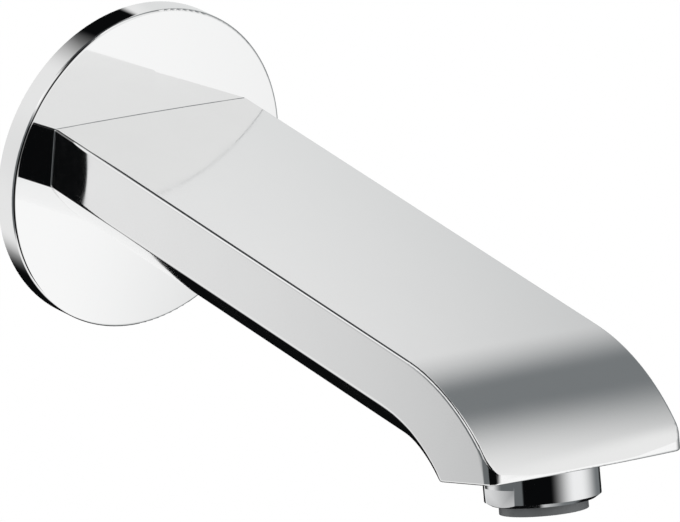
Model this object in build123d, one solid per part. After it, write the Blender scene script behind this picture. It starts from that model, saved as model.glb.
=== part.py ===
from build123d import *
import os
from math import cos, radians, sin, sqrt

# A wall-mounted bath spout in polished chrome: a round wall flange, a cast spout with a flat top that
# bends down into a tongue-shaped lip, and an aerator screwed into the outlet under the lip.
# Millimetres. The wall is the plane y = 0 and the spout points along -Y. +Z is up, and the inlet is on
# the Y axis.

# Wall flange
flange_diameter = 80.0
flange_rim = 6.3              # height of the flat face off the wall
flange_edge_round = 0.8
flange_hole_diameter = 26.0
flange_hub_diameter = 36.0    # solid ring round the hole, which takes the clamping force to the wall
flange_skin = 2.4             # metal left in front of the hollow back
gasket_width = 4.0
gasket_thickness = 2.0
gasket_inset = 3.4            # rim metal outside the gasket's groove
gasket_clearance = 0.1
groove_rib = 1.6              # rib between the groove and the hollow back

# Spout, outside
spout_width = 57.7
spout_slope = 6.0             # fall of the flat top towards the lip, degrees
top_height = 14.25            # top face above the inlet axis, at the flange's rim
side_height = 14.5            # flat side from the top edge down to the chine
hull_depth = 14.8             # how far the rounded underside hangs below the chines
chine_round = 2.0
top_crown_radius = 1800.0     # the top is very slightly arched across
top_edge_round = 0.85
back_edge_round = 0.4         # leaves a fine line between the spout and the flange
flat_top_length = 138.6       # along the slope, from the flange's rim to the top's bend
top_bend_radius = 54.0
under_bend_lead = 6.1         # how much sooner the underside bends than the top
under_bend_radius = 40.0
under_bend_angle = 70.0       # enough to pass below the outlet face, degrees

# Lip at the end of the top's bend, and the outlet face under it, square to the aerator's axis
lip_bend_angle = 44.3         # how far the top bends before the lip's edge, degrees
lip_height = 0.63             # the lip's front, up the aerator's axis, before its edges are rounded
lip_reach = 19.55             # from the aerator's axis forward to the lip's front
lip_bow_radius = 300.0
lip_corner_round = 3.2
outlet_edge_round = 0.7
outlet_tilt = 15.0            # the jet leans forward by this much, degrees

# Spout, inside
casting_wall = 4.0
inlet_throat_diameter = 13.0
inlet_throat_length = 8.0     # from the socket's floor to the hollow
hollow_bend_angle = 30.0      # how far the hollow follows the underside's bend, degrees
outlet_seat = 1.5             # metal between the aerator's seal and the hollow
outlet_throat_diameter = 19.0
outlet_throat_length = 6.0

# Wall nipple with a half-inch pipe thread
pipe_thread_diameter = 20.955
pipe_thread_length = 15.0     # length that goes into the wall
pipe_thread_runout = 2.0      # thread on the room side of the wall's face
spigot_diameter = 18.0
spigot_reach = 33.0           # from the wall to the spigot's end
nipple_bore_diameter = 9.6
nipple_key_width = 10.0       # across the flats of the hexagon that the nipple is screwed in by
nipple_key_depth = 9.0
nipple_chamfer = 1.0
socket_clearance = 0.1
locating_clearance = 0.2      # round the ring on the spout's back that centres the flange

# Seals on the nipple
ring_thickness = 1.7          # squeezed between the groove's floor and the socket
ring_width = 2.3
ring_round = 0.8
ring_groove_width = 2.6
front_ring_reach = 28.5       # from the wall
rear_ring_reach = 13.5

# Set screw under the spout, which locks it on the nipple
screw_diameter = 5.0
screw_length = 6.2
screw_reach = 21.0            # from the wall
screw_clearance = 0.05
screw_key_width = 2.5
screw_key_depth = 2.6
screw_point_diameter = 2.4
screw_point_height = 1.3
lock_groove_depth = 1.0
lock_groove_floor = 2.8

# Aerator with an M24 thread
aerator_thread_diameter = 24.0
aerator_thread_length = 4.6
aerator_thread_chamfer = 0.5
aerator_thread_clearance = 0.1
collar_diameter = 27.5
collar_height = 8.5
collar_chamfer_height = 0.9
collar_chamfer_width = 1.4
wrench_flats_across = 25.2
wrench_flats_height = 4.4
sleeve_diameter = 21.0
sleeve_clearance = 0.1
sleeve_bore_diameter = 17.8
sleeve_flange_diameter = 23.2
sleeve_flange_thickness = 1.0
sleeve_below_collar = 2.3
seal_width = 2.0
seal_thickness = 1.8
seal_clearance = 0.2
jet_plate_diameter = 19.6
jet_plate_height = 2.4
jet_hole_diameter = 1.3
jet_rings = ((0.0, 1), (3.4, 6), (6.6, 12))  # radius of each ring of holes, and how many it has
strainer_diameter = 19.2
strainer_rim_width = 1.3
strainer_rim_height = 0.7
strainer_wall = 0.6
strainer_rise = 2.6
strainer_slot_width = 1.0
strainer_slots = 8
strainer_crown_radius = 2.2   # closed middle of the strainer, inside its slots
grid_diameter = 18.8
grid_height = 3.0
grid_recess = 0.3             # grid's lower face above the sleeve's end
grid_cell_width = 2.9         # across the flats of one honeycomb cell
grid_web = 0.6
grid_rings = 2                # rings of cells round the middle one

# Worked out from the sizes above
half_width = spout_width / 2
flange_radius = flange_diameter / 2
slope = radians(spout_slope)
top_bend_angle = 90 - spout_slope  # until the top faces forward
flat_under_length = flat_top_length - under_bend_lead
tilt = radians(outlet_tilt)
hub_radius = flange_hub_diameter / 2
gasket_outer = flange_radius - gasket_inset
gasket_inner = gasket_outer - gasket_width
socket_radius = spigot_diameter / 2 + socket_clearance
socket_floor = spigot_reach + socket_clearance
ring_floor = socket_radius - ring_thickness
lock_floor = spigot_diameter / 2 - lock_groove_depth
nipple_shoulder = (pipe_thread_diameter - spigot_diameter) / 2
nipple_shoulder_end = pipe_thread_runout + nipple_shoulder
hollow_start = (socket_floor + inlet_throat_length - flange_rim) / cos(slope)
outlet_bore_depth = aerator_thread_length + sleeve_flange_thickness + seal_thickness
sleeve_top = aerator_thread_length + sleeve_flange_thickness
sleeve_end = -collar_height - sleeve_below_collar
jet_plate_floor = sleeve_top - jet_plate_height
grid_floor = sleeve_end + grid_recess
grid_top = grid_floor + grid_height
beyond = 4 * flange_diameter  # a length that reaches past the part on any side

# The lip's edge lies on the top's bend, and the outlet's middle is placed from it
bend_middle_y = top_bend_radius * sin(slope) - flange_rim - flat_top_length * cos(slope)
bend_middle_z = top_height - flat_top_length * sin(slope) - top_bend_radius * cos(slope)
lip_angle = slope + radians(lip_bend_angle)
lip_y = bend_middle_y - top_bend_radius * sin(lip_angle)
lip_z = bend_middle_z + top_bend_radius * cos(lip_angle)
outlet_y = lip_y - lip_height * sin(tilt) + lip_reach * cos(tilt)
outlet_z = lip_z - lip_height * cos(tilt) - lip_reach * sin(tilt)

# One frame at the root of the top, looking along the spout, and one on the outlet face, with z up the
# aerator's axis
spout_frame = Plane(
    origin=(0, -flange_rim, top_height), x_dir=(1, 0, 0), z_dir=(0, -cos(slope), -sin(slope))
)
outlet_frame = Plane(
    origin=(0, outlet_y, outlet_z), x_dir=(1, 0, 0), z_dir=(0, sin(tilt), cos(tilt))
)


def loop(*lines):
    """Close joined lines and arcs into a face."""
    return make_face([edge for line in lines for edge in line.edges()])


def ring_profile(inner, outer, low, high):
    """A rectangle drawn as radius across and height up."""
    return loop(Polyline((inner, low), (outer, low), (outer, high), (inner, high), close=True))


def turn_on_inlet(profile):
    """Turn a profile, drawn as radius and y, about the inlet axis."""
    return revolve(profile, Axis.Y)


def turn_on_outlet(profile):
    """Turn a profile, drawn as radius and height over the outlet face, about the aerator's axis."""
    return outlet_frame * revolve(Plane.XZ * profile, Axis.Z)


def inlet_bar(radius, start, end):
    """A round bar on the inlet axis, from one y down to another."""
    return turn_on_inlet(ring_profile(0, radius, end, start))


def outlet_bar(radius, low, high):
    """A round bar on the aerator's axis, between two heights over the outlet face."""
    return turn_on_outlet(ring_profile(0, radius, low, high))


def spout_section(headroom):
    """The spout's cross-section, with y up from the top face: flat sides over a hull-shaped underside."""
    sides = Polyline(
        (-half_width, -side_height),
        (-half_width, headroom),
        (half_width, headroom),
        (half_width, -side_height),
    )
    hull = ThreePointArc(
        (half_width, -side_height), (0, -side_height - hull_depth), (-half_width, -side_height)
    )
    section = loop(sides, hull)
    chines = section.vertices().group_by(Axis.Y)[0]
    return fillet(chines, chine_round)


def top_section(depth):
    """What lies deeper under the arched top than a depth, down to the axis that the top bends about."""
    edge_y = sqrt(top_crown_radius**2 - half_width**2) - top_crown_radius - depth
    crown = ThreePointArc((-half_width, edge_y), (0, -depth), (half_width, edge_y))
    rest = Polyline(
        (half_width, edge_y),
        (half_width, -top_bend_radius),
        (-half_width, -top_bend_radius),
        (-half_width, edge_y),
    )
    return loop(crown, rest)


def follow_slope(section, start, flat_length, axis_depth, bend_angle):
    """Run a section down the slope from a distance off the rim, then bend it down about a lower axis."""
    run = extrude(spout_frame.offset(start) * section, flat_length - start)
    bend_frame = spout_frame.offset(flat_length)
    bend_middle = bend_frame.from_local_coords(Vector(0, -axis_depth, 0))
    bend = revolve(bend_frame * section, Axis(bend_middle, (1, 0, 0)), bend_angle)
    return run + bend


def follow_underside(section, start, bend_angle):
    """Run a section along the underside's straight and round its bend."""
    axis_depth = side_height + under_bend_radius
    return follow_slope(section, start, flat_under_length, axis_depth, bend_angle)


def below_top(depth):
    """Everything deeper than a depth under the top and its bend, across the spout's width."""
    section = top_section(depth)
    return follow_slope(section, -flange_rim, flat_top_length, top_bend_radius, top_bend_angle)


def above_outlet():
    """Everything above the outlet face and inside the lip's bowed outline with its round corners."""
    corner_y = lip_bow_radius - sqrt(lip_bow_radius**2 - half_width**2) - lip_reach
    bow = ThreePointArc((-half_width, corner_y), (0, -lip_reach), (half_width, corner_y))
    rest = Polyline(
        (half_width, corner_y), (half_width, beyond), (-half_width, beyond), (-half_width, corner_y)
    )
    outline = loop(bow, rest)
    corners = outline.vertices().sort_by(Axis.Y)[:2]
    return extrude(outlet_frame * fillet(corners, lip_corner_round), beyond)


def looks_up(face):
    normal = face.normal_at()
    return normal.Z > max(abs(normal.X), abs(normal.Y))


def patch_outline(faces):
    """The edges round a patch of faces, without those that two of its faces share."""
    edges = faces.edges()
    return ShapeList(edge for edge in edges if sum(edge.is_same(other) for other in edges) == 1)


def spout_form():
    """The spout's outer form, cut off at the flange, with all but the chines rounded in the end."""
    section = spout_section(top_bend_radius / 4)
    form = follow_underside(section, -flange_rim, under_bend_angle) & below_top(0) & above_outlet()
    top_edges = patch_outline(form.faces().filter_by(looks_up)).sort_by(Axis.Y)[:-1]
    form = fillet(top_edges, top_edge_round)
    outlet_face = form.faces().filter_by(GeomType.PLANE).sort_by(Axis.Z)[0]
    form = fillet(outlet_face.edges(), outlet_edge_round)
    form = split(form, Plane.XZ.offset(flange_rim))
    back_face = form.faces().sort_by(Axis.Y)[-1]
    return fillet(back_face.edges(), back_edge_round)


def waterway():
    """The hollow and the throats at its ends, under the top's skin and above the aerator's seat."""
    section = offset(spout_section(0), -casting_wall)
    hollow = follow_underside(section, hollow_start, hollow_bend_angle)
    hollow = split(hollow, outlet_frame.offset(outlet_bore_depth + outlet_seat))
    throat_end = outlet_bore_depth + outlet_throat_length
    outlet_throat = outlet_bar(outlet_throat_diameter / 2, outlet_bore_depth, throat_end)
    inlet_end = -socket_floor - 2 * inlet_throat_length
    inlet_throat = inlet_bar(inlet_throat_diameter / 2, -socket_floor, inlet_end)
    return (hollow + outlet_throat + inlet_throat) & below_top(casting_wall)


def spout_body():
    """The casting: flat on the flange, centred by a ring, and open from the socket to the outlet."""
    locating_radius = flange_hole_diameter / 2 - locating_clearance
    locating_end = -nipple_shoulder_end - locating_clearance
    locating_ring = inlet_bar(locating_radius, locating_end, -flange_rim)
    body = spout_form() + locating_ring
    socket = inlet_bar(socket_radius, beyond, -socket_floor)
    outlet_bore = outlet_bar(aerator_thread_diameter / 2, -aerator_thread_length, outlet_bore_depth)
    screw_hole = Pos(0, -screw_reach, 0) * extrude(Circle(screw_diameter / 2), -beyond)
    return body - socket - waterway() - outlet_bore - screw_hole


def wall_flange():
    """A turned disc with a flat face, a hollow back, a hub round the hole and a groove for the gasket."""
    hole_radius = flange_hole_diameter / 2
    hollow_outer = gasket_inner - groove_rib
    hollow_floor = flange_skin - flange_rim
    outline = Polyline(
        (hole_radius, -flange_rim),
        (flange_radius, -flange_rim),
        (flange_radius, 0),
        (gasket_outer, 0),
        (gasket_outer, -gasket_thickness),
        (gasket_inner, -gasket_thickness),
        (gasket_inner, 0),
        (hollow_outer, 0),
        (hollow_outer, hollow_floor),
        (hub_radius, hollow_floor),
        (hub_radius, 0),
        (hole_radius, 0),
        close=True,
    )
    profile = loop(outline)
    rim_corner = profile.vertices().group_by(Axis.X)[-1].sort_by(Axis.Y)[0]
    return turn_on_inlet(fillet(rim_corner, flange_edge_round))


def flange_gasket():
    inner = gasket_inner + gasket_clearance
    outer = gasket_outer - gasket_clearance
    return turn_on_inlet(ring_profile(inner, outer, -gasket_thickness, 0))


def wall_nipple():
    """Pipe thread for the wall, a smooth spigot for the spout, grooves for the seals and the set screw."""
    thread_radius = pipe_thread_diameter / 2
    spigot_radius = spigot_diameter / 2
    bore_radius = nipple_bore_diameter / 2
    outline = Polyline(
        (bore_radius, pipe_thread_length),
        (thread_radius - nipple_chamfer, pipe_thread_length),
        (thread_radius, pipe_thread_length - nipple_chamfer),
        (thread_radius, -pipe_thread_runout),
        (spigot_radius, -nipple_shoulder_end),
        (spigot_radius, nipple_chamfer - spigot_reach),
        (spigot_radius - nipple_chamfer, -spigot_reach),
        (bore_radius, -spigot_reach),
        close=True,
    )
    nipple = turn_on_inlet(loop(outline))
    for reach in (front_ring_reach, rear_ring_reach):
        half_groove = ring_groove_width / 2
        nipple -= turn_on_inlet(
            ring_profile(ring_floor, thread_radius, -reach - half_groove, half_groove - reach)
        )
    half_floor = lock_groove_floor / 2
    half_mouth = half_floor + lock_groove_depth
    lock_groove = Polyline(
        (lock_floor, -screw_reach - half_floor),
        (spigot_radius, -screw_reach - half_mouth),
        (spigot_radius, half_mouth - screw_reach),
        (lock_floor, half_floor - screw_reach),
        close=True,
    )
    nipple -= turn_on_inlet(loop(lock_groove))
    key = RegularPolygon(nipple_key_width / 2, 6, major_radius=False)
    return nipple - extrude(Plane.XZ.offset(spigot_reach - nipple_key_depth) * key, nipple_key_depth)


def nipple_ring(reach):
    """A rubber ring squeezed into its groove on the nipple."""
    section = RectangleRounded(ring_thickness, ring_width, ring_round)
    return turn_on_inlet(Pos((ring_floor + socket_radius) / 2, -reach) * section)


def set_screw():
    """A headless screw with a cone point, standing upright under the nipple's lock groove."""
    radius = screw_diameter / 2 - screw_clearance
    point_radius = screw_point_diameter / 2
    profile = Polyline(
        (0, 0),
        (point_radius, 0),
        (radius, -screw_point_height),
        (radius, -screw_length),
        (0, -screw_length),
        close=True,
    )
    screw = revolve(Plane.XZ * loop(profile), Axis.Z)
    key = RegularPolygon(screw_key_width / 2, 6, major_radius=False)
    screw -= Pos(0, 0, -screw_length) * extrude(key, screw_key_depth)
    return Pos(0, -screw_reach, -lock_floor) * screw


def aerator_housing():
    """A chromed collar with a male thread above it and two wrench flats on its lower half."""
    bore_radius = sleeve_diameter / 2 + sleeve_clearance
    collar_radius = collar_diameter / 2
    thread_radius = aerator_thread_diameter / 2 - aerator_thread_clearance
    profile = Polyline(
        (bore_radius, -collar_height),
        (collar_radius - collar_chamfer_width, -collar_height),
        (collar_radius, collar_chamfer_height - collar_height),
        (collar_radius, 0),
        (thread_radius, 0),
        (thread_radius, aerator_thread_length - aerator_thread_chamfer),
        (thread_radius - aerator_thread_chamfer, aerator_thread_length),
        (bore_radius, aerator_thread_length),
        close=True,
    )
    housing = turn_on_outlet(loop(profile))
    off_axis = (wrench_flats_across + collar_diameter) / 2
    for side in (-off_axis, off_axis):
        flat = Pos(side, 0, wrench_flats_height / 2 - collar_height) * Box(
            collar_diameter, 2 * collar_diameter, wrench_flats_height
        )
        housing -= outlet_frame * flat
    return housing


def aerator_seal():
    outer = aerator_thread_diameter / 2 - seal_clearance
    return turn_on_outlet(ring_profile(outer - seal_width, outer, sleeve_top, outlet_bore_depth))


def aerator_sleeve():
    """The cartridge's plastic body: it hangs by its flange in the housing and holds plate and grid."""
    sleeve_radius = sleeve_diameter / 2
    bore_radius = sleeve_bore_diameter / 2
    plate_radius = jet_plate_diameter / 2 + sleeve_clearance
    grid_radius = grid_diameter / 2 + sleeve_clearance
    flange_edge = sleeve_flange_diameter / 2
    profile = Polyline(
        (grid_radius, sleeve_end),
        (sleeve_radius, sleeve_end),
        (sleeve_radius, aerator_thread_length),
        (flange_edge, aerator_thread_length),
        (flange_edge, sleeve_top),
        (plate_radius, sleeve_top),
        (plate_radius, jet_plate_floor),
        (bore_radius, jet_plate_floor),
        (bore_radius, grid_top),
        (grid_radius, grid_top),
        close=True,
    )
    return turn_on_outlet(loop(profile))


def jet_plate():
    """A thick plate whose small holes split the water into jets."""
    plate = Circle(jet_plate_diameter / 2)
    for radius, count in jet_rings:
        plate -= PolarLocations(radius, count) * Circle(jet_hole_diameter / 2)
    return outlet_frame.offset(jet_plate_floor) * extrude(plate, jet_plate_height)


def strainer():
    """A slotted dome that keeps grit off the jet plate, standing on the plate by its rim."""
    rim_radius = strainer_diameter / 2
    base = rim_radius - strainer_rim_width
    curve = (base**2 + strainer_rise**2) / (2 * strainer_rise)
    inner_base = base - strainer_wall
    inner_rise = curve - strainer_wall - sqrt((curve - strainer_wall) ** 2 - inner_base**2)
    shoulder = sleeve_top + strainer_rim_height
    outer_arc = RadiusArc((base, shoulder), (0, shoulder + strainer_rise), -curve)
    inner_arc = RadiusArc((0, shoulder + inner_rise), (inner_base, shoulder), curve - strainer_wall)
    crown = Line((0, shoulder + strainer_rise), (0, shoulder + inner_rise))
    rim = Polyline(
        (inner_base, shoulder),
        (inner_base, sleeve_top),
        (rim_radius, sleeve_top),
        (rim_radius, shoulder),
        (base, shoulder),
    )
    dome = turn_on_outlet(loop(outer_arc, crown, inner_arc, rim))
    slot_length = inner_base - strainer_crown_radius - strainer_wall
    slot = SlotOverall(slot_length, strainer_slot_width)
    slots = Sketch() + PolarLocations(strainer_crown_radius + slot_length / 2, strainer_slots) * slot
    return dome - outlet_frame.offset(shoulder) * extrude(slots, strainer_rise)


def outlet_grid():
    """A honeycomb that straightens the jet, pressed up into the sleeve's lower end."""
    pitch = grid_cell_width + grid_web
    cell = RegularPolygon(grid_cell_width / 2, 6, major_radius=False)
    grid = Circle(grid_diameter / 2)
    for column in range(-grid_rings, grid_rings + 1):
        cells_in_column = 2 * grid_rings + 1 - abs(column)
        column_x = column * pitch * sqrt(3) / 2
        grid -= Pos(column_x, 0) * GridLocations(0, pitch, 1, cells_in_column) * cell
    return outlet_frame.offset(grid_floor) * extrude(grid, grid_height)


pieces = {
    "spout_body": spout_body(),
    "wall_flange": wall_flange(),
    "flange_gasket": flange_gasket(),
    "wall_nipple": wall_nipple(),
    "front_o_ring": nipple_ring(front_ring_reach),
    "rear_o_ring": nipple_ring(rear_ring_reach),
    "set_screw": set_screw(),
    "aerator_housing": aerator_housing(),
    "aerator_seal": aerator_seal(),
    "aerator_sleeve": aerator_sleeve(),
    "jet_plate": jet_plate(),
    "strainer": strainer(),
    "outlet_grid": outlet_grid(),
}

os.makedirs("parts", exist_ok=True)
for name, piece in pieces.items():
    export_step(piece, f"parts/{name}.step")
    print(name, round(piece.volume), "mm3")
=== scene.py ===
# %% [markdown]
# # A chrome bath spout
# The real object is a cast and plated spout on a round wall flange, with an aerator under its lip.
# Its solids are already made, at their real size. This lesson gives them their finishes, adds the thread
# that a solid model leaves out, and sets up a stage, a light and a camera.
# All sizes are in metres. The wall is the plane y = 0, the spout points along -Y and +Z is up.

# %% Load the solids
from math import cos, pi, radians, sin

import bmesh
import bpy
from mathutils import Matrix, Vector


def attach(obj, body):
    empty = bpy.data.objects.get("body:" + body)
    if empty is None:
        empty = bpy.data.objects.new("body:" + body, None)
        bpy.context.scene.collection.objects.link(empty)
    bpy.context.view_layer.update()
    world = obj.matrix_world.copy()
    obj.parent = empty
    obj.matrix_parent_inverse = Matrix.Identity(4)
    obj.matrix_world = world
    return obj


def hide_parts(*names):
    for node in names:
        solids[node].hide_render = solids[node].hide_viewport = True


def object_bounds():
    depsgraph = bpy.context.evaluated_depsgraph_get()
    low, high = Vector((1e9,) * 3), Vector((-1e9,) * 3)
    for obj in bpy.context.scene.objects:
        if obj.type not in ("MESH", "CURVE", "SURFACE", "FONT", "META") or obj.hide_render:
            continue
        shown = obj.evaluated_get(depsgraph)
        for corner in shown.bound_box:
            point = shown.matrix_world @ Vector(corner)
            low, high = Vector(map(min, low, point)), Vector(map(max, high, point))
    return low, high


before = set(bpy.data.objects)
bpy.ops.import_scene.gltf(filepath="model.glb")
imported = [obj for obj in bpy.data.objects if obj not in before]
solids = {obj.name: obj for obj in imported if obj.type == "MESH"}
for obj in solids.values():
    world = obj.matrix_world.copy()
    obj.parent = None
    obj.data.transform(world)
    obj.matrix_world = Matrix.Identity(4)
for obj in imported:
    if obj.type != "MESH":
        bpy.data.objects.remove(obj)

scene = bpy.context.scene
cad_low, cad_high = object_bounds()
mm = 0.001
print("solids:", ", ".join(sorted(solids)))
print("box in mm:", [round(size / mm, 1) for size in cad_high - cad_low])

# %% [markdown]
# ## Where the photograph was taken from
# Product pictures are taken from far away with a long lens, so that parallel edges stay nearly parallel.
# The camera could be aimed with a Track To constraint, but this picture is also rolled a few degrees and
# framed off centre. So the camera's three axes are worked out from its angles, and its place follows from
# one point, the middle of the flange's rim, whose pixel in the picture is known.

# %% Camera
image_width, image_height = 680, 522
view_azimuth = radians(-39.19)
view_elevation = radians(18.565)
view_roll = radians(-4.47)
camera_distance = 3.2
pixels_per_metre = 4159.87
rim_height = 6.3 * mm
rim_middle = Vector((0, -rim_height, 0))
rim_middle_pixel = (147.36, 168.36)
sensor_width = 36.0
up = Vector((0, 0, 1))


def photo_axes():
    """Right, up and backward of the camera, as directions in the part's frame."""
    back = Vector((
        sin(view_azimuth) * cos(view_elevation),
        -cos(view_azimuth) * cos(view_elevation),
        sin(view_elevation),
    ))
    level_right = up.cross(back).normalized()
    level_up = back.cross(level_right)
    right = cos(view_roll) * level_right - sin(view_roll) * level_up
    return right, back.cross(right), back


def add_camera():
    right, over, back = photo_axes()
    aside = (rim_middle_pixel[0] - image_width / 2) / pixels_per_metre
    below = (rim_middle_pixel[1] - image_height / 2) / pixels_per_metre
    place = rim_middle - aside * right + below * over + camera_distance * back
    data = bpy.data.cameras.new("long_lens")
    data.sensor_width = sensor_width
    data.lens = pixels_per_metre * camera_distance * sensor_width / image_width
    camera = bpy.data.objects.new("camera", data)
    camera.matrix_world = Matrix.Translation(place) @ Matrix((right, over, back)).transposed().to_4x4()
    scene.collection.objects.link(camera)
    return camera


scene.camera = add_camera()
scene.view_settings.view_transform = "Standard"
print("lens in mm:", round(scene.camera.data.lens))
print("camera at:", [round(c, 2) for c in scene.camera.location])

# %% [markdown]
# ## Small helpers for shader nodes
# A shader is a tree of nodes, and each link joins an output to an input. Building one in code takes three
# lines a node, so a few helpers shorten that: one adds a node and fills its sockets, two do a step of
# arithmetic, and two start and end a material.

# %% Node helpers


def fill(tree, socket, value):
    """Link an output to a socket, or set the socket's own value."""
    if isinstance(value, bpy.types.NodeSocket):
        tree.links.new(value, socket)
    else:
        socket.default_value = value


def add_node(tree, kind, *values, settings=None, **named_values):
    """Add a node. Values fill its inputs in order, and named values fill the inputs of that name."""
    node = tree.nodes.new(kind)
    for name, value in (settings or {}).items():
        setattr(node, name, value)
    for socket, value in zip(node.inputs, values):
        fill(tree, socket, value)
    for name, value in named_values.items():
        fill(tree, node.inputs[name.replace("_", " ")], value)
    return node


def calculate(tree, operation, *values):
    """One step of arithmetic."""
    return add_node(tree, "ShaderNodeMath", *values, settings={"operation": operation}).outputs[0]


def rescale(tree, value, low, high, new_low, new_high, softly=False):
    """Stretch the range low to high of a value to a new range, and hold it there."""
    kind = {"interpolation_type": "SMOOTHSTEP" if softly else "LINEAR"}
    return add_node(
        tree, "ShaderNodeMapRange", value, low, high, new_low, new_high, settings=kind
    ).outputs[0]


def start_material(name):
    """An empty material. Returns it and its node tree."""
    material = bpy.data.materials.new(name)
    material.use_nodes = True
    material.node_tree.nodes.clear()
    return material, material.node_tree


def give_surface(tree, shader):
    """End a material's tree with this shader."""
    output = tree.nodes.new("ShaderNodeOutputMaterial")
    tree.links.new(shader, output.inputs["Surface"])


print("node helpers ready")

# %% [markdown]
# ## The stage: a white room with a pale floor
# The picture's background is white. A white world of strength 1 gives that to the camera and to mirrors,
# without more light on the object. Matt surfaces get a little less of it, and a soft lamp from the front
# left adds some shape, so that a colour comes out about as it is written. The floor lies well below the
# spout, as in a bathroom. It is pale paint, with a little glow for the camera so that it ends as white as
# the room, and it keeps the spout's shadow. Its underside is clear, so that the spout can also be looked
# at from below.

# %% World, lamp and floor
white = (1, 1, 1, 1)
room_light = 0.8
lamp_light = 0.85
lamp_spread = radians(50)
lamp_direction = Vector((0.45, 0.5, -0.74))
floor_height = -0.8
floor_size = 40.0
floor_paint = 0.9
floor_roughness = 0.9


def seen_white(tree):
    """1 for what the camera sees directly, in a mirror or through glass, else 0."""
    path = tree.nodes.new("ShaderNodeLightPath").outputs
    seen = calculate(tree, "MAXIMUM", path["Is Camera Ray"], path["Is Glossy Ray"])
    return calculate(tree, "MAXIMUM", seen, path["Is Transmission Ray"])


def add_room():
    world = bpy.data.worlds.new("white_room")
    world.use_nodes = True
    tree = world.node_tree
    tree.nodes.clear()
    strength = rescale(tree, seen_white(tree), 0.0, 1.0, room_light, 1.0)
    room = add_node(tree, "ShaderNodeBackground", white, strength)
    output = tree.nodes.new("ShaderNodeOutputWorld")
    tree.links.new(room.outputs[0], output.inputs["Surface"])
    scene.world = world


def add_lamp():
    data = bpy.data.lights.new("soft_lamp", "SUN")
    data.energy = lamp_light
    data.angle = lamp_spread
    lamp = bpy.data.objects.new("soft_lamp", data)
    lamp.rotation_mode = "QUATERNION"
    lamp.rotation_quaternion = lamp_direction.to_track_quat("-Z", "Y")
    lamp.visible_glossy = False
    scene.collection.objects.link(lamp)


def floor_material():
    material, tree = start_material("pale_floor")
    glow = calculate(tree, "MULTIPLY", seen_white(tree), 1 - floor_paint)
    paint = add_node(
        tree,
        "ShaderNodeBsdfPrincipled",
        Base_Color=(floor_paint, floor_paint, floor_paint, 1),
        Roughness=floor_roughness,
        Specular_IOR_Level=0.0,
        Emission_Color=white,
        Emission_Strength=glow,
    )
    clear = tree.nodes.new("ShaderNodeBsdfTransparent")
    underside = tree.nodes.new("ShaderNodeNewGeometry").outputs["Backfacing"]
    either = add_node(tree, "ShaderNodeMixShader", underside, paint.outputs[0], clear.outputs[0])
    give_surface(tree, either.outputs[0])
    return material


def add_floor():
    mesh = bpy.data.meshes.new("floor")
    form = bmesh.new()
    bmesh.ops.create_grid(form, x_segments=1, y_segments=1, size=floor_size / 2)
    bmesh.ops.translate(form, verts=form.verts, vec=(0, 0, floor_height))
    form.to_mesh(mesh)
    form.free()
    mesh.materials.append(floor_material())
    floor = bpy.data.objects.new("floor", mesh)
    scene.collection.objects.link(floor)


add_room()
add_lamp()
add_floor()
print("floor", -floor_height, "m below the inlet, lamp of", lamp_light, "W/m2")

# %% [markdown]
# ## Node groups
# A node group is a tree with named sockets of its own. It is built once and placed in many materials, each
# time with other values, so that an effect is written in one place only. Two helpers start a group and
# place it.

# %% Group helpers


def start_group(name, inputs, outputs):
    """A new node group with named sockets. Returns its tree, its inputs and its outputs."""
    tree = bpy.data.node_groups.new(name, "ShaderNodeTree")
    kinds = {float: "NodeSocketFloat", tuple: "NodeSocketColor", Vector: "NodeSocketVector"}
    for label, default in inputs.items():
        socket = tree.interface.new_socket(label, in_out="INPUT", socket_type=kinds[type(default)])
        socket.default_value = default
    for label, kind in outputs.items():
        tree.interface.new_socket(label, in_out="OUTPUT", socket_type=kinds[kind])
    entry = tree.nodes.new("NodeGroupInput")
    leave = tree.nodes.new("NodeGroupOutput")
    return tree, entry.outputs, leave.inputs


def place_group(tree, group, **named_values):
    """Put a node group in a tree and return its outputs."""
    node = tree.nodes.new("ShaderNodeGroup")
    node.node_tree = group
    for name, value in named_values.items():
        fill(tree, node.inputs[name.replace("_", " ")], value)
    return node.outputs


print("group helpers ready")

# %% [markdown]
# ## A light tent with soft flags
# Polished chrome has no look of its own: it shows what stands round it. Photographers put it in a white
# tent and hang dark flags where an edge needs a line. Cards of mesh would do, one object for each flag.
# Here the tent is one sphere that glows, and each flag is a soft-edged patch of it, given in degrees by
# compass direction and height, so that it can be moved by changing a number. Direction 0 is into the wall,
# 90 is to the right, and a flag covers those that come before it in the list. Between the flags the cloth
# glows a little more in front than on the wall's side.
# Only mirrors see the tent: the camera and the matt surfaces look through it at the room.

# %% The flag group
flag_inputs = {
    "Azimuth": 0.0,
    "Elevation": 0.0,
    "Middle": 0.0,
    "Half width": 10.0,
    "Fade left": 5.0,
    "Fade right": 5.0,
    "Height": 0.0,
    "Half height": 10.0,
    "Fade height": 5.0,
}


def fade_out(tree, distance, start, width):
    """1 up to the start, then a soft fall to 0 over the width."""
    end = calculate(tree, "ADD", start, width)
    return rescale(tree, distance, start, end, 1.0, 0.0, softly=True)


def build_flag_group():
    tree, given, out = start_group("soft_flag", flag_inputs, {"Mask": float})
    aside = calculate(tree, "SUBTRACT", given["Azimuth"], given["Middle"])
    aside = calculate(tree, "WRAP", aside, 180.0, -180.0)
    other_way = calculate(tree, "MULTIPLY", aside, -1.0)
    above = calculate(tree, "SUBTRACT", given["Elevation"], given["Height"])
    above = calculate(tree, "ABSOLUTE", above)
    right = fade_out(tree, aside, given["Half width"], given["Fade right"])
    left = fade_out(tree, other_way, given["Half width"], given["Fade left"])
    height = fade_out(tree, above, given["Half height"], given["Fade height"])
    across = calculate(tree, "MULTIPLY", left, right)
    tree.links.new(calculate(tree, "MULTIPLY", across, height), out["Mask"])
    return tree


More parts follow.
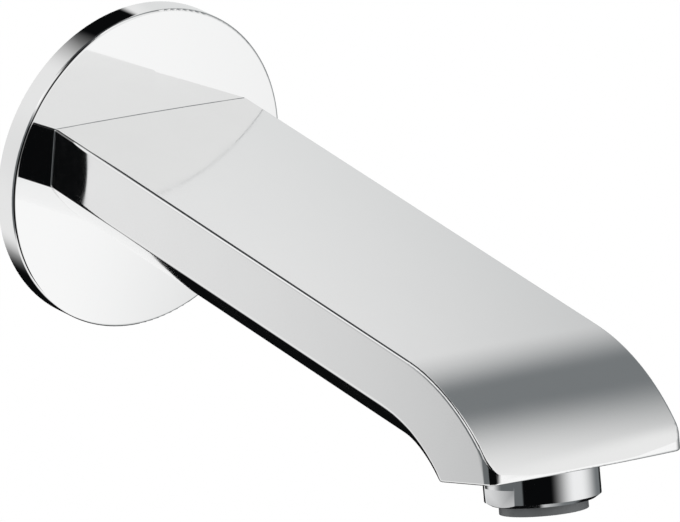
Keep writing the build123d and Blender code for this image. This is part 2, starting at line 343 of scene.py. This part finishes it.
soft_flag = build_flag_group()
print("flag inputs:", ", ".join(flag_inputs))

# %% Flags
black = (0.003, 0.0033, 0.0036, 1)
edge_grey = (0.05, 0.053, 0.056, 1)
dim_grey = (0.14, 0.15, 0.155, 1)
cool_grey = (0.19, 0.203, 0.21, 1)
half_grey = (0.77, 0.78, 0.78, 1)
pale_grey = (0.79, 0.795, 0.795, 1)
soft_white = (0.897, 0.897, 0.894, 1)
bright_card = (1.3, 1.3, 1.3, 1)
flags = [
    # tone, middle, half width, fade left, fade right, height, half height, fade height
    (soft_white, 140, 55, 20, 20, 33, 23, 7),  # the top's image in the flange, and the end of the bend
    (pale_grey, 122, 11, 5, 7, -33, 9.5, 6),  # lower right of the flange's face
    (half_grey, 45, 10, 6, 6, 0, 20, 14),  # the flat top, and the rim's upper right
    (cool_grey, 82, 8, 37.5, 53, 10, 70, 20),  # broad grey band across the bend
    (soft_white, 140, 14, 8, 10, 27, 11, 5),  # the top's wall end, and the strip above the lip's edge
    (black, 16, 10, 30, 3, -6, 52, 6),  # black on the rim's upper left
    (edge_grey, -60, 90, 20, 20, 80, 20, 8),  # dark line on the bend's left edge
    (edge_grey, -6, 22, 16, 22, 52, 6, 5),  # dark line along the top's left edge
    (edge_grey, -30, 5, 6, 6, 45, 5.5, 3),  # the same line, towards the side
    (bright_card, -55, 11.5, 4, 2.5, 18.5, 14.5, 3),  # white line below it
    (black, 40, 34, 28, 8, -46, 28, 4),  # black under the spout, and on the rim's lower left
    (dim_grey, -90, 24, 4, 32, -8, 30, 10),  # soft shade on the side, and the collar's left part
    (black, -137, 24, 45, 4, -8, 24, 5),  # black wall end of the side, and the collar's middle
    (black, -166, 13, 8, 56, 38, 26, 8),  # dark edge at the lip's corner
    (black, -147, 27, 8, 10, -45, 20, 5),  # black line under the side, near the wall
]
print("flags:", len(flags))

# %% Tent
tent_radius = 0.7
tent_middle = Vector((0, (cad_low.y + cad_high.y) / 2, 0))
tent_columns, tent_rows = 96, 48
front_level = 1.04
back_level = 0.86
level_change = (-0.5, 0.5)  # as a share of the radius towards the wall


def measure(tree, operation, *values):
    """One step of arithmetic with directions. A length or a dot product comes back as a number."""
    node = add_node(tree, "ShaderNodeVectorMath", *values, settings={"operation": operation})
    return node.outputs["Value" if operation in ("LENGTH", "DOT_PRODUCT") else "Vector"]


def mix_colours(tree, share, first, second):
    """The first colour at share 0 and the second at share 1."""
    mix = add_node(tree, "ShaderNodeMix", settings={"data_type": "RGBA"})
    colours = [socket for socket in mix.inputs if socket.type == "RGBA"]
    fill(tree, mix.inputs["Factor"], share)
    fill(tree, colours[0], first)
    fill(tree, colours[1], second)
    return next(socket for socket in mix.outputs if socket.type == "RGBA")


def tent_material():
    material, tree = start_material("tent_cloth")
    place = tree.nodes.new("ShaderNodeNewGeometry").outputs["Position"]
    outward = measure(tree, "NORMALIZE", measure(tree, "SUBTRACT", place, tent_middle))
    x, y, z = add_node(tree, "ShaderNodeSeparateXYZ", outward).outputs
    azimuth = calculate(tree, "DEGREES", calculate(tree, "ARCTAN2", x, y))
    elevation = calculate(tree, "DEGREES", calculate(tree, "ARCSINE", z))
    level = rescale(tree, y, *level_change, front_level, back_level)
    colour = add_node(tree, "ShaderNodeCombineColor", level, level, level).outputs[0]
    labels = [label for label in flag_inputs if label not in ("Azimuth", "Elevation")]
    for tone, *sizes in flags:
        values = dict(zip(labels, map(float, sizes)))
        mask = place_group(tree, soft_flag, Azimuth=azimuth, Elevation=elevation, **values)["Mask"]
        colour = mix_colours(tree, mask, colour, tone)
    give_surface(tree, add_node(tree, "ShaderNodeEmission", colour).outputs[0])
    return material


def add_tent():
    mesh = bpy.data.meshes.new("light_tent")
    form = bmesh.new()
    bmesh.ops.create_uvsphere(form, u_segments=tent_columns, v_segments=tent_rows, radius=tent_radius)
    bmesh.ops.translate(form, verts=form.verts, vec=tent_middle)
    form.to_mesh(mesh)
    form.free()
    mesh.materials.append(tent_material())
    tent = bpy.data.objects.new("light_tent", mesh)
    tent.visible_camera = False
    tent.visible_diffuse = False
    tent.visible_shadow = False
    tent.visible_volume_scatter = False
    scene.collection.objects.link(tent)


add_tent()
print("tent of radius", tent_radius, "m with", len(flags), "flags")

# %% [markdown]
# ## Clean shading on the solids
# The solids arrive as triangles, and their corners' normals are averages over all the faces that meet
# there. On a mirror finish that bends the reflections next to every rounded edge. Weighted normals cure it:
# each corner takes the direction of its largest face, so that flat faces are flat and the small round
# carries the turn. The stack is a Weld, a small Geometry Nodes tree that marks edges which turn sharply,
# and the Weighted Normal modifier. Modifiers leave the solid's own mesh as it is.

# %% Shading modifiers
sharp_turn = radians(32)
weld_distance = 0.001 * mm
large_face_weight = 90


def start_geometry_tree(name):
    """A Geometry Nodes tree with one mesh in and one mesh out."""
    tree = bpy.data.node_groups.new(name, "GeometryNodeTree")
    tree.interface.new_socket("Geometry", in_out="INPUT", socket_type="NodeSocketGeometry")
    tree.interface.new_socket("Geometry", in_out="OUTPUT", socket_type="NodeSocketGeometry")
    entry = tree.nodes.new("NodeGroupInput").outputs[0]
    leave = tree.nodes.new("NodeGroupOutput").inputs[0]
    return tree, entry, leave


def sharp_edge_tree():
    tree, entry, leave = start_geometry_tree("mark_sharp_edges")
    turn = tree.nodes.new("GeometryNodeInputMeshEdgeAngle").outputs["Unsigned Angle"]
    more = {"operation": "GREATER_THAN"}
    sharp = add_node(tree, "FunctionNodeCompare", turn, sharp_turn, settings=more)
    smooth = add_node(tree, "GeometryNodeSetShadeSmooth", entry, Shade_Smooth=True)
    marked = add_node(
        tree,
        "GeometryNodeSetShadeSmooth",
        smooth.outputs[0],
        sharp.outputs[0],
        False,
        settings={"domain": "EDGE"},
    )
    tree.links.new(marked.outputs[0], leave)
    return tree


mark_sharp_edges = sharp_edge_tree()


def shade_cleanly(piece):
    weld = piece.modifiers.new("weld", "WELD")
    weld.merge_threshold = weld_distance
    piece.modifiers.new("sharp_edges", "NODES").node_group = mark_sharp_edges
    weighted = piece.modifiers.new("weighted_normals", "WEIGHTED_NORMAL")
    weighted.mode = "FACE_AREA"
    weighted.weight = large_face_weight
    weighted.keep_sharp = True


for solid in solids.values():
    shade_cleanly(solid)
print("shading modifiers on", len(solids), "solids")

# %% [markdown]
# ## True normals on the bend
# The eye follows the reflections over the top's bend. Its triangles differ in size, so that averaged
# normals wobble by a degree, and a mirror shows that as smudges. More triangles would need a new mesh. But
# the bend's form is known: it is turned about one axis, and very slightly arched across. So a second
# Geometry Nodes tree works out the true normal from each corner's place and sets it, on the bend alone.
# The axis follows from the top, which leaves the flange at a height, falls at a slope and ends in the bend.

# %% Normals of the bend
top_slope = radians(6)
top_height = 14.25 * mm
flat_top_length = 138.6 * mm
bend_radius = 54 * mm
crown_radius = 1800 * mm
bend_tolerance = 0.02 * mm
largest_wobble = radians(5)
along_top = Vector((0, -cos(top_slope), -sin(top_slope)))
above_top = Vector((0, -sin(top_slope), cos(top_slope)))
top_start = Vector((0, -rim_height, top_height))
bend_middle = top_start + flat_top_length * along_top - bend_radius * above_top


def bend_normal_tree():
    tree, entry, leave = start_geometry_tree("true_bend_normals")
    place = tree.nodes.new("GeometryNodeInputPosition").outputs[0]
    offset = measure(tree, "SUBTRACT", place, bend_middle)
    x, y, z = add_node(tree, "ShaderNodeSeparateXYZ", offset).outputs
    outward = add_node(tree, "ShaderNodeCombineXYZ", 0.0, y, z).outputs[0]
    lean = calculate(tree, "DIVIDE", x, crown_radius)
    aside = add_node(tree, "ShaderNodeCombineXYZ", lean).outputs[0]
    true_normal = measure(tree, "NORMALIZE", outward)
    true_normal = measure(tree, "NORMALIZE", measure(tree, "ADD", true_normal, aside))
    sag = calculate(tree, "MULTIPLY", calculate(tree, "MULTIPLY", x, lean), 0.5)
    radius = calculate(tree, "ADD", measure(tree, "LENGTH", outward), sag)
    near = calculate(tree, "COMPARE", radius, bend_radius, bend_tolerance)
    given_normal = tree.nodes.new("GeometryNodeInputNormal").outputs["Normal"]
    likeness = measure(tree, "DOT_PRODUCT", true_normal, given_normal)
    alike = calculate(tree, "GREATER_THAN", likeness, cos(largest_wobble))
    on_bend = calculate(tree, "MULTIPLY", near, alike)
    chosen = add_node(
        tree, "GeometryNodeSwitch", on_bend, given_normal, true_normal, settings={"input_type": "VECTOR"}
    )
    mended = add_node(
        tree,
        "GeometryNodeSetMeshNormal",
        entry,
        settings={"mode": "FREE", "domain": "CORNER"},
        Custom_Normal=chosen.outputs[0],
    )
    tree.links.new(mended.outputs[0], leave)
    return tree


solids["spout_body"].modifiers.new("bend_normals", "NODES").node_group = bend_normal_tree()
print("bend's axis in mm:", [round(c / mm, 2) for c in bend_middle])

# %% [markdown]
# ## Where on a turned piece is this point?
# Bores, collars and threads are turned on a lathe, and their marks run round an axis. A shader knows only
# a point's place. A dot product tells how far along the axis it is, and the length of what is left tells
# how far out. With that, a second group tells whether a point is inside a round bar, such as a bore that
# the plating bath doesn't reach. Vertex colours could mark such a zone too, but the solids' meshes must
# stay as they are.

# %% Place on a bar


def build_bar_group():
    tree, given, out = start_group(
        "bar_place",
        {"Position": Vector(), "Origin": Vector(), "Axis": Vector((0, 1, 0))},
        {"Along": float, "Out": float},
    )
    offset = measure(tree, "SUBTRACT", given["Position"], given["Origin"])
    along = measure(tree, "DOT_PRODUCT", offset, given["Axis"])
    step = measure(tree, "MULTIPLY", given["Axis"], along)
    tree.links.new(along, out["Along"])
    tree.links.new(measure(tree, "LENGTH", measure(tree, "SUBTRACT", offset, step)), out["Out"])
    return tree


def build_inside_group():
    tree, given, out = start_group(
        "inside_bar",
        {
            "Position": Vector(),
            "Origin": Vector(),
            "Axis": Vector((0, 1, 0)),
            "Radius": 10 * mm,
            "Length": 10 * mm,
        },
        {"Mask": float},
    )
    place = place_group(
        tree, bar_place, Position=given["Position"], Origin=given["Origin"], Axis=given["Axis"]
    )
    near = calculate(tree, "LESS_THAN", place["Out"], given["Radius"])
    begun = calculate(tree, "GREATER_THAN", place["Along"], 0.0)
    not_ended = calculate(tree, "LESS_THAN", place["Along"], given["Length"])
    between = calculate(tree, "MULTIPLY", begun, not_ended)
    tree.links.new(calculate(tree, "MULTIPLY", near, between), out["Mask"])
    return tree


bar_place = build_bar_group()
inside_bar = build_inside_group()
print("groups:", bar_place.name, inside_bar.name)

# %% [markdown]
# ## What polishing leaves on plated metal
# Chrome is a skin of a few thousandths of a millimetre on polished brass. It is never quite even: the
# buffing wheel leaves very long, shallow waves, and the shine differs a little from place to place. Two
# noises do that, one as height and one as roughness. The waves are less than two thousandths of a
# millimetre deep, because a mirror doubles every tilt. Heights are written in metres, so that a Bump node
# with distance 1 shows them at true size.

# %% Polish group
wave_scale = 42.0
wave_depth = 0.0016 * mm
wave_detail = 1.0
haze_scale = 95.0
haze_detail = 3.0
haze_range = (0.35, 0.65)
haze_gain = (0.7, 1.3)


def noise(tree, place, scale, detail, roughness=0.5):
    """A noise from 0 to 1 over the surface. The scale is in waves a metre."""
    return add_node(
        tree, "ShaderNodeTexNoise", place, Scale=scale, Detail=detail, Roughness=roughness
    ).outputs[0]


def build_polish_group():
    tree, given, out = start_group(
        "polished_plating",
        {"Position": Vector(), "Roughness": 0.03},
        {"Roughness": float, "Height": float},
    )
    haze = noise(tree, given["Position"], haze_scale, haze_detail)
    share = rescale(tree, haze, *haze_range, *haze_gain)
    tree.links.new(calculate(tree, "MULTIPLY", given["Roughness"], share), out["Roughness"])
    wave = noise(tree, given["Position"], wave_scale, wave_detail)
    tree.links.new(calculate(tree, "MULTIPLY", wave, wave_depth), out["Height"])
    return tree


polished_plating = build_polish_group()
print("waves about", round(1 / wave_scale / mm), "mm long")

# %% [markdown]
# ## What the lathe leaves
# A turning tool cuts a very fine spiral. On a finished collar it is hardly there, on a raw face it shows as
# fine rings. A sine of the distance along the axis and outward draws both, on a cylinder and on a flat
# face, and a noise makes the cut uneven. An image of brushed metal would need unwrapping, and it would
# show a seam.

# %% Lathe group
uneven_scale = 300.0
uneven_detail = 2.0


def build_lathe_group():
    tree, given, out = start_group(
        "turning_marks",
        {
            "Position": Vector(),
            "Origin": Vector(),
            "Axis": Vector((0, 1, 0)),
            "Pitch": 0.4 * mm,
            "Depth": 0.0002 * mm,
        },
        {"Height": float, "Mask": float},
    )
    place = place_group(
        tree, bar_place, Position=given["Position"], Origin=given["Origin"], Axis=given["Axis"]
    )
    fed = calculate(tree, "ADD", place["Along"], place["Out"])
    turns = calculate(tree, "DIVIDE", fed, given["Pitch"])
    uneven = noise(tree, given["Position"], uneven_scale, uneven_detail)
    phase = calculate(tree, "MULTIPLY", calculate(tree, "ADD", turns, uneven), 2 * pi)
    wave = rescale(tree, calculate(tree, "SINE", phase), -1.0, 1.0, 0.0, 1.0)
    cut = calculate(tree, "MULTIPLY", wave, uneven)
    tree.links.new(calculate(tree, "MULTIPLY", cut, given["Depth"]), out["Height"])
    tree.links.new(cut, out["Mask"])
    return tree


turning_marks = build_lathe_group()
print("group:", turning_marks.name)

# %% [markdown]
# ## Raw brass
# Under its plating the spout is brass, and so is the nipple in the wall. Bare brass dulls in the air in
# soft clouds, browner and rougher where water stood. One group gives the colour and the roughness together
# from the same noise, so that the dull places are also the brown ones.

# %% Brass group
clean_brass = (0.76, 0.55, 0.27, 1)
dull_brass = (0.50, 0.34, 0.17, 1)
brass_roughness = (0.24, 0.42)
cloud_scale = 130.0
cloud_detail = 5.0
cloud_roughness = 0.6
cloud_range = (0.42, 0.68)


def build_brass_group():
    tree, given, out = start_group(
        "raw_brass",
        {"Position": Vector(), "Clean": clean_brass, "Dull": dull_brass},
        {"Colour": tuple, "Roughness": float},
    )
    cloud = noise(tree, given["Position"], cloud_scale, cloud_detail, cloud_roughness)
    dulled = rescale(tree, cloud, *cloud_range, 0.0, 1.0, softly=True)
    tree.links.new(mix_colours(tree, dulled, given["Clean"], given["Dull"]), out["Colour"])
    tree.links.new(rescale(tree, dulled, 0.0, 1.0, *brass_roughness), out["Roughness"])
    return tree


raw_brass = build_brass_group()
print("group:", raw_brass.name)

# %% [markdown]
# ## Chrome on the spout and the flange
# Plating is thin, so the colour of a polished face is plain chrome: nearly white and a trace cool. The bath
# leaves the deep bores bare, and the flange's hollow back is only turned. There the chrome gives way to
# brass. A second material with its own faces would do that as well, but the solid's faces aren't ours to
# split, so a mask from the bar group picks the zone. The flange's raw zone starts just behind its face and
# stays inside its rim.

# %% Raw zones
wall_axis = Vector((0, 1, 0))
outlet_middle = Vector((0, -161.3 * mm, -25.1 * mm))
outlet_tilt = radians(15)
jet_axis = Vector((0, sin(outlet_tilt), cos(outlet_tilt)))
socket_bar = {
    "Origin": Vector((0, -36 * mm, 0)),
    "Axis": wall_axis,
    "Radius": 9.5 * mm,
    "Length": 34 * mm,
}
outlet_bar = {
    "Origin": outlet_middle + 0.4 * mm * jet_axis,
    "Axis": jet_axis,
    "Radius": 12.4 * mm,
    "Length": 7.5 * mm,
}
flange_back = {
    "Origin": Vector((0, -5.6 * mm, 0)),
    "Axis": wall_axis,
    "Radius": 39.4 * mm,
    "Length": 6 * mm,
}
raw_marks = {"Pitch": 0.4 * mm, "Depth": 0.003 * mm}
print("raw zones: socket, outlet and flange's back")

# %% Chrome
chrome_tint = (0.9, 0.902, 0.902, 1)
spout_polish = 0.09
flange_polish = 0.03


def surface_place(tree):
    """The point on the surface, in the part's own frame."""
    return tree.nodes.new("ShaderNodeTexCoord").outputs["Object"]


def relief(tree, height):
    """The normal of a surface with these heights, in metres."""
    return add_node(tree, "ShaderNodeBump", Strength=1.0, Distance=1.0, Height=height).outputs[0]


def give_metal(tree, colour, roughness, height):
    """End a tree with bare metal."""
    shader = add_node(
        tree,
        "ShaderNodeBsdfPrincipled",
        Base_Color=colour,
        Metallic=1.0,
        Roughness=roughness,
        Normal=relief(tree, height),
    )
    give_surface(tree, shader.outputs[0])


def plated_brass(name, raw_bars, polish):
    material, tree = start_material(name)
    place = surface_place(tree)
    plating = place_group(tree, polished_plating, Position=place, Roughness=polish)
    brass = place_group(tree, raw_brass, Position=place, Clean=clean_brass, Dull=dull_brass)
    colour, roughness, height = chrome_tint, plating["Roughness"], plating["Height"]
    for bar in raw_bars:
        marks = place_group(
            tree, turning_marks, Position=place, Origin=bar["Origin"], Axis=bar["Axis"], **raw_marks
        )
        raw = place_group(tree, inside_bar, Position=place, **bar)["Mask"]
        colour = mix_colours(tree, raw, colour, brass["Colour"])
        cut = calculate(tree, "MULTIPLY", marks["Height"], raw)
        height = calculate(tree, "ADD", height, cut)
        gain = calculate(tree, "SUBTRACT", brass["Roughness"], roughness)
        roughness = calculate(tree, "MULTIPLY_ADD", gain, raw, roughness)
    give_metal(tree, colour, roughness, height)
    return material


spout_chrome = plated_brass("spout_chrome", [socket_bar, outlet_bar], spout_polish)
flange_chrome = plated_brass("flange_chrome", [flange_back], flange_polish)
print("chrome:", spout_chrome.name, flange_chrome.name)

# %% [markdown]
# ## Other metals: the aerator's collar, the nipple and the set screw
# The aerator is a small turned piece with a cheaper, greyer plating than the spout's. The nipple is bare
# brass with clear turning marks. The set screw is plain steel. All three take the same lathe group, each
# with its own axis, pitch and depth, and that is what a group is for.

# %% Turned metals
collar_tint = (0.8, 0.806, 0.812, 1)
collar_polish = 0.06
steel_tint = (0.55, 0.555, 0.56, 1)
steel_roughness = (0.26, 0.42)
screw_reach = 21 * mm
screw_middle = Vector((0, -screw_reach, 0))
collar_marks = {"Origin": outlet_middle, "Axis": jet_axis, "Pitch": 0.4 * mm, "Depth": 0.0004 * mm}
nipple_marks = {"Origin": Vector(), "Axis": wall_axis, "Pitch": 0.3 * mm, "Depth": 0.0025 * mm}
screw_marks = {"Origin": screw_middle, "Axis": up, "Pitch": 0.25 * mm, "Depth": 0.002 * mm}


def collar_material():
    material, tree = start_material("aerator_chrome")
    place = surface_place(tree)
    plating = place_group(tree, polished_plating, Position=place, Roughness=collar_polish)
    marks = place_group(tree, turning_marks, Position=place, **collar_marks)
    height = calculate(tree, "ADD", plating["Height"], marks["Height"])
    give_metal(tree, collar_tint, plating["Roughness"], height)
    return material


def nipple_material():
    material, tree = start_material("nipple_brass")
    place = surface_place(tree)
    brass = place_group(tree, raw_brass, Position=place, Clean=clean_brass, Dull=dull_brass)
    marks = place_group(tree, turning_marks, Position=place, **nipple_marks)
    give_metal(tree, brass["Colour"], brass["Roughness"], marks["Height"])
    return material


def screw_material():
    material, tree = start_material("screw_steel")
    place = surface_place(tree)
    marks = place_group(tree, turning_marks, Position=place, **screw_marks)
    roughness = rescale(tree, marks["Mask"], 0.0, 1.0, *steel_roughness)
    give_metal(tree, steel_tint, roughness, marks["Height"])
    return material


aerator_chrome = collar_material()
nipple_brass = nipple_material()
screw_steel = screw_material()
print("turned metals:", aerator_chrome.name, nipple_brass.name, screw_steel.name)

# %% [markdown]
# ## Moulded pieces
# The sleeve, the grid and the jet pieces of the aerator are moulded plastic, and the seals are moulded
# rubber. A mould gives its pieces a very fine matt grain and the plastic flows unevenly, so that the colour
# drifts a little. One group makes the grain, the drift and the shine, and each material brings its own
# colour. Rubber has less gloss than plastic, and that is set on each shader itself.

# %% Moulded group
grain_scale = 5200.0
grain_detail = 2.0
grain_depth = 0.004 * mm
grain_gain = (0.85, 1.15)
drift_scale = 210.0
drift_detail = 3.0
drift_gain = (0.9, 1.1)
moulded_range = (0.3, 0.7)


def build_moulded_group():
    tree, given, out = start_group(
        "moulded_skin",
        {"Position": Vector(), "Colour": (0.5, 0.5, 0.5, 1), "Roughness": 0.4},
        {"Colour": tuple, "Roughness": float, "Height": float},
    )
    drift = noise(tree, given["Position"], drift_scale, drift_detail)
    grain = noise(tree, given["Position"], grain_scale, grain_detail)
    shade = rescale(tree, drift, *moulded_range, *drift_gain)
    tree.links.new(measure(tree, "MULTIPLY", given["Colour"], shade), out["Colour"])
    change = rescale(tree, grain, *moulded_range, *grain_gain)
    tree.links.new(calculate(tree, "MULTIPLY", given["Roughness"], change), out["Roughness"])
    tree.links.new(calculate(tree, "MULTIPLY", grain, grain_depth), out["Height"])
    return tree


moulded_skin = build_moulded_group()
print("group:", moulded_skin.name)

# %% Plastic and rubber
plastic_gloss = 0.5
rubber_gloss = 0.3
sleeve_grey = (0.118, 0.124, 0.128, 1)
grid_grey = (0.58, 0.585, 0.58, 1)
insert_white = (0.74, 0.745, 0.74, 1)
rubber_black = (0.026, 0.026, 0.027, 1)


def give_matt(tree, colour, roughness, gloss, height):
    """End a tree with plastic, rubber or foam."""
    shader = add_node(
        tree,
        "ShaderNodeBsdfPrincipled",
        Base_Color=colour,
        Roughness=roughness,
        Specular_IOR_Level=gloss,
        Normal=relief(tree, height),
    )
    give_surface(tree, shader.outputs[0])


def moulded_material(name, colour, roughness, gloss):
    material, tree = start_material(name)
    skin = place_group(
        tree, moulded_skin, Position=surface_place(tree), Colour=colour, Roughness=roughness
    )
    give_matt(tree, skin["Colour"], skin["Roughness"], gloss, skin["Height"])
    return material


sleeve_plastic = moulded_material("sleeve_plastic", sleeve_grey, roughness=0.42, gloss=plastic_gloss)
grid_plastic = moulded_material("grid_plastic", grid_grey, roughness=0.38, gloss=plastic_gloss)
insert_plastic = moulded_material("insert_plastic", insert_white, roughness=0.36, gloss=plastic_gloss)
seal_rubber = moulded_material("seal_rubber", rubber_black, roughness=0.62, gloss=rubber_gloss)
print("moulded:", sleeve_plastic.name, grid_plastic.name, insert_plastic.name, seal_rubber.name)

# %% [markdown]
# ## The foam gasket
# Behind the flange lies a ring of closed-cell foam, which keeps splashes out of the wall. Its cut face
# shows the cells as small round dents with thin walls between. Voronoi cells have just that pattern: the
# nearer a point is to its cell's middle, the deeper it lies. Its colour is darkened there too, as painted
# shade in the dents.

# %% Foam
cell_scale = 2600.0
cell_depth = 0.11 * mm
cell_range = (0.1, 0.75)
foam_light = (0.15, 0.15, 0.155, 1)
# painted shade: the colour at the bottom of the cells' dents, darker than the cell walls
foam_dent_shade = (0.055, 0.055, 0.058, 1)
foam_roughness = (0.95, 0.8)
foam_gloss = 0.2


def foam_material():
    material, tree = start_material("gasket_foam")
    cells = add_node(tree, "ShaderNodeTexVoronoi", surface_place(tree), Scale=cell_scale)
    wall = rescale(tree, cells.outputs["Distance"], *cell_range, 0.0, 1.0, softly=True)
    # painted shade: the colour darkens towards each cell's middle, where the dent is deepest
    colour = mix_colours(tree, wall, foam_dent_shade, foam_light)
    roughness = rescale(tree, wall, 0.0, 1.0, *foam_roughness)
    give_matt(tree, colour, roughness, foam_gloss, calculate(tree, "MULTIPLY", wall, cell_depth))
    return material


gasket_foam = foam_material()
print("cells about", round(1 / cell_scale / mm, 2), "mm wide")

# %% [markdown]
# ## Finishes on the solids
# Each solid keeps its mesh and takes one material. The names of the pieces say what they are on the bench.

# %% Give each solid its finish
finishes = {
    "spout_body": spout_chrome,
    "wall_flange": flange_chrome,
    "aerator_housing": aerator_chrome,
    "wall_nipple": nipple_brass,
    "set_screw": screw_steel,
    "front_o_ring": seal_rubber,
    "rear_o_ring": seal_rubber,
    "aerator_seal": seal_rubber,
    "flange_gasket": gasket_foam,
    "aerator_sleeve": sleeve_plastic,
    "outlet_grid": grid_plastic,
    "jet_plate": insert_plastic,
    "strainer": insert_plastic,
}
for name, finish in finishes.items():
    solids[name].data.materials.clear()
    solids[name].data.materials.append(finish)
print("finished solids:", len(finishes), "of", len(solids))

# %% [markdown]
# ## A real thread on the nipple
# The nipple screws into the wall with a half-inch pipe thread, 14 turns to the inch, with round crests and
# roots. The solid has a plain cylinder there, at the crests' size. A Screw modifier could sweep a thread,
# but it leaves open ends and a step at the run-out. Here the whole nipple is a stack of rings that closes
# on itself: outside, key socket and bore. Each ring has its own radius at every angle, so a thread is a
# radius that waves with the height and the angle together, fades out at its end, and stays under the
# chamfer. Heights count from the wall, into it, so the end in the spout has negative ones.

# %% Nipple sizes
thread_radius = 20.955 / 2 * mm
inch = 25.4 * mm
turns_per_inch = 14
depth_per_pitch = 0.6403
thread_pitch = inch / turns_per_inch
thread_depth = depth_per_pitch * thread_pitch
thread_top = 15 * mm
thread_end = -2 * mm
thread_fade = 2.6 * mm
chamfer = 1 * mm
spigot_radius = 9 * mm
spigot_end = -33 * mm
bore_radius = 4.8 * mm
key_flat = 5 * mm
key_floor = -24 * mm
rear_ring_reach = 13.5 * mm
front_ring_reach = 28.5 * mm
ring_floor = 7.4 * mm
ring_half_width = 1.3 * mm
lock_floor = 8 * mm
lock_half_floor = 1.4 * mm
lock_half_mouth = 2.4 * mm
rows_per_turn = 16
points_round = 192
thread_rows = round((thread_top - thread_end) / thread_pitch * rows_per_turn)
print("thread depth in mm:", round(thread_depth / mm, 3), "rows:", thread_rows)

# %% Rings of the nipple
angles = [2 * pi * step / points_round for step in range(points_round)]


def plain_ring(height, radius):
    return height, [radius] * points_round


def thread_ring(height):
    """One level of the thread. The wave's phase falls by one turn round the ring."""
    cone = thread_radius - chamfer + (thread_top - height)
    share = min(1.0, max(0.0, (height - thread_end) / thread_fade))
    depth = thread_depth * share * share * (3 - 2 * share)
    radii = []
    for angle in angles:
        wave = cos(2 * pi * height / thread_pitch - angle)
        radii.append(min(cone, thread_radius - depth * (1 - wave) / 2))
    return height, radii


def key_ring(height):
    """A hexagon with a corner at angle 0."""
    return height, [key_flat / cos(angle % (pi / 3) - pi / 6) for angle in angles]


def groove_rings(reach, floor, half_floor, half_mouth):
    """A groove round the spigot, this far from the wall."""
    return [
        plain_ring(half_mouth - reach, spigot_radius),
        plain_ring(half_floor - reach, floor),
        plain_ring(-half_floor - reach, floor),
        plain_ring(-half_mouth - reach, spigot_radius),
    ]


thread_step = (thread_top - thread_end) / thread_rows
nipple_rings = [thread_ring(thread_top - row * thread_step) for row in range(thread_rows + 1)]
nipple_rings.append(plain_ring(thread_end - thread_radius + spigot_radius, spigot_radius))
nipple_rings += groove_rings(rear_ring_reach, ring_floor, ring_half_width, ring_half_width)
nipple_rings += groove_rings(screw_reach, lock_floor, lock_half_floor, lock_half_mouth)
nipple_rings += groove_rings(front_ring_reach, ring_floor, ring_half_width, ring_half_width)
nipple_rings.append(plain_ring(spigot_end + chamfer, spigot_radius))
nipple_rings.append(plain_ring(spigot_end, spigot_radius - chamfer))
nipple_rings += [key_ring(spigot_end), key_ring(key_floor)]
nipple_rings += [plain_ring(key_floor, bore_radius), plain_ring(thread_top, bore_radius)]
print("rings:", len(nipple_rings))

# %% Mesh of the nipple
thread_turn = radians(60)


def is_soft(edge):
    """True where the shading runs over the edge. In the thread it does so over larger turns too."""
    in_thread = all(thread_end < vertex.co.y < thread_top - chamfer for vertex in edge.verts)
    return edge.calc_face_angle(0.0) < (thread_turn if in_thread else sharp_turn)


def ring_mesh(name, rings):
    """A closed skin through the rings, round the Y axis."""
    form = bmesh.new()
    loops = []
    for height, radii in rings:
        loops.append([
            form.verts.new((radius * cos(angle), height, radius * sin(angle)))
            for angle, radius in zip(angles, radii)
        ])
    for this, following in zip(loops, loops[1:] + loops[:1]):
        for step in range(points_round):
            ahead = (step + 1) % points_round
            form.faces.new((this[step], this[ahead], following[ahead], following[step]))
    bmesh.ops.recalc_face_normals(form, faces=form.faces)
    for face in form.faces:
        face.smooth = True
    for edge in form.edges:
        edge.smooth = is_soft(edge)
    mesh = bpy.data.meshes.new(name)
    form.to_mesh(mesh)
    form.free()
    return mesh


threaded_nipple = bpy.data.objects.new("threaded_nipple", ring_mesh("threaded_nipple", nipple_rings))
threaded_nipple.data.materials.append(nipple_brass)
scene.collection.objects.link(threaded_nipple)
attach(threaded_nipple, "root")
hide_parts("wall_nipple")
print("threaded nipple:", len(threaded_nipple.data.polygons), "faces")
